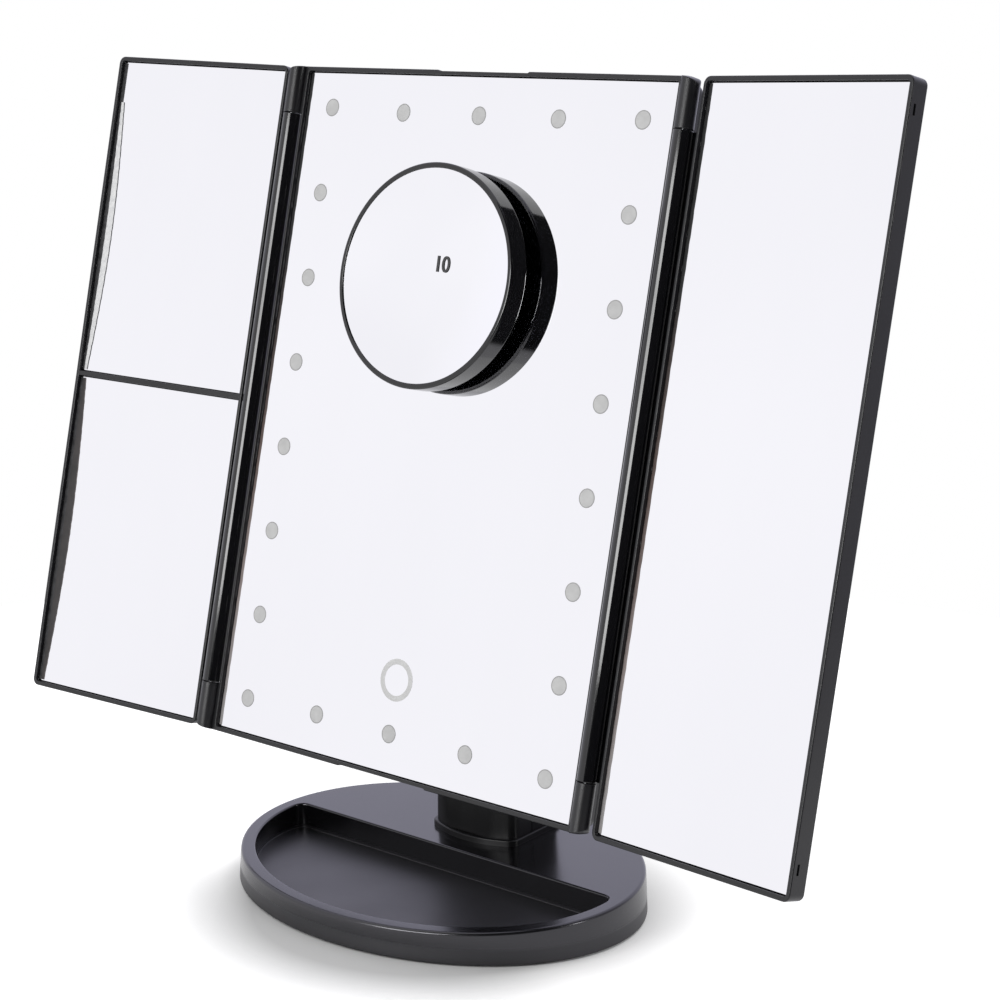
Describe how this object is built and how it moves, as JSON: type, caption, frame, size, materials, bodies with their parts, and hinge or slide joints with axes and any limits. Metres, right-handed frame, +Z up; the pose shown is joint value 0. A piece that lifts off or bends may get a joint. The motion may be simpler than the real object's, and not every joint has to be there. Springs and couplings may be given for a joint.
{
  "type": "lighted tri-fold makeup mirror",
  "caption": "Tabletop makeup mirror on an oval tray base: a lighted centre panel tilts on a neck, two mirrored wings fold on hinges, and a round spot mirror clings to the glass.",
  "frame": {"origin": "centre of the base's underside, on the table", "axes": "+Z up, the mirrors face -Y towards the user, +X towards the wing with one mirror"},
  "size_m": [0.3398, 0.12, 0.2816],
  "materials": {
    "base_black": "satin gloss moulded ABS",
    "frame_black": "fine matt moulded ABS",
    "gloss_black": "polished moulded ABS",
    "inner_black": "plain moulded",
    "pad_rubber": "soft non-slip",
    "ballast_steel": "raw cut plate",
    "screw_steel": "zinc plated",
    "contact_steel": "nickel plated",
    "mirror_silver": "silvered glass",
    "frosted_white": "frosted",
    "strip_white": "printed strip",
    "board_green": "solder mask",
    "touch_brass": "plain foil",
    "cell_metal": "printed sleeve, unmarked",
    "cup_soft": "clear soft vinyl"
  },
  "bodies": {
    "stand": {"base_cover": "base_black", "base_bottom": "inner_black", "base_pad": "pad_rubber", "base_weight": "ballast_steel", "base_screw_1": "screw_steel", "base_screw_2": "screw_steel", "base_screw_3": "screw_steel", "base_screw_4": "screw_steel", "neck_rear": "gloss_black", "neck_front": "gloss_black", "neck_collar": "gloss_black", "neck_screw_1": "screw_steel", "neck_screw_2": "screw_steel", "tilt_washer_left": "pad_rubber", "tilt_washer_right": "pad_rubber"},
    "head": {"head_frame": "frame_black", "head_cover": "frame_black", "centre_glass": "mirror_silver", "light_diffuser": "frosted_white", "led_strip_top": "strip_white", "led_strip_bottom": "strip_white", "led_strip_left": "strip_white", "led_strip_right": "strip_white", "control_board": "board_green", "touch_pad": "touch_brass", "usb_socket": "contact_steel", "power_switch": "inner_black", "battery_holder": "inner_black", "battery_contacts_left": "contact_steel", "battery_contacts_right": "contact_steel", "battery_cell_1": "cell_metal", "battery_cell_2": "cell_metal", "battery_cell_3": "cell_metal", "battery_cell_4": "cell_metal", "tilt_bolt": "screw_steel", "tilt_nut": "screw_steel", "head_screw_1": "screw_steel", "head_screw_2": "screw_steel", "head_screw_3": "screw_steel", "head_screw_4": "screw_steel", "head_screw_5": "screw_steel", "head_screw_6": "screw_steel", "hinge_pin_left_top": "screw_steel", "hinge_pin_left_bottom": "screw_steel", "hinge_pin_right_top": "screw_steel", "hinge_pin_right_bottom": "screw_steel"},
    "left_wing": {"left_wing_frame": "frame_black", "left_wing_back": "frame_black", "left_upper_glass": "mirror_silver", "left_lower_glass": "mirror_silver"},
    "right_wing": {"right_wing_frame": "frame_black", "right_wing_back": "frame_black", "right_glass": "mirror_silver"},
    "spot_mirror": {"spot_shell": "gloss_black", "spot_glass": "mirror_silver", "spot_cup_1": "cup_soft", "spot_cup_2": "cup_soft", "spot_cup_3": "cup_soft"},
    "battery_door": {"battery_door": "frame_black"},
    "power_knob": {"power_knob": "gloss_black"}
  },
  "joints": [
    {"name": "head_tilt", "type": "hinge", "parent": "stand", "child": "head", "pos_m": [0, 0.0282, 0.138], "axis": [-1, 0, 0], "range_deg": [-13, 62]},
    {"name": "left_wing_fold", "type": "hinge", "parent": "head", "child": "left_wing", "pos_m": [-0.085, -0.00361, 0.16382], "axis": [0, 0.225, 0.9744], "range_deg": [-12.2, 144.8]},
    {"name": "right_wing_fold", "type": "hinge", "parent": "head", "child": "right_wing", "pos_m": [0.085, -0.00361, 0.16382], "axis": [0, -0.225, -0.9744], "range_deg": [-12.2, 144.8]},
    {"name": "spot_mirror_lift", "type": "slide", "parent": "head", "child": "spot_mirror", "axis": [0, -0.9744, 0.225], "range_m": [0, 0.009]},
    {"name": "battery_door_pull", "type": "slide", "parent": "head", "child": "battery_door", "axis": [0, 0.9744, -0.225], "range_m": [0, 0.02]},
    {"name": "power_switch_slide", "type": "slide", "parent": "head", "child": "power_knob", "axis": [1, 0, 0], "range_m": [0, 0.004]}
  ]
}
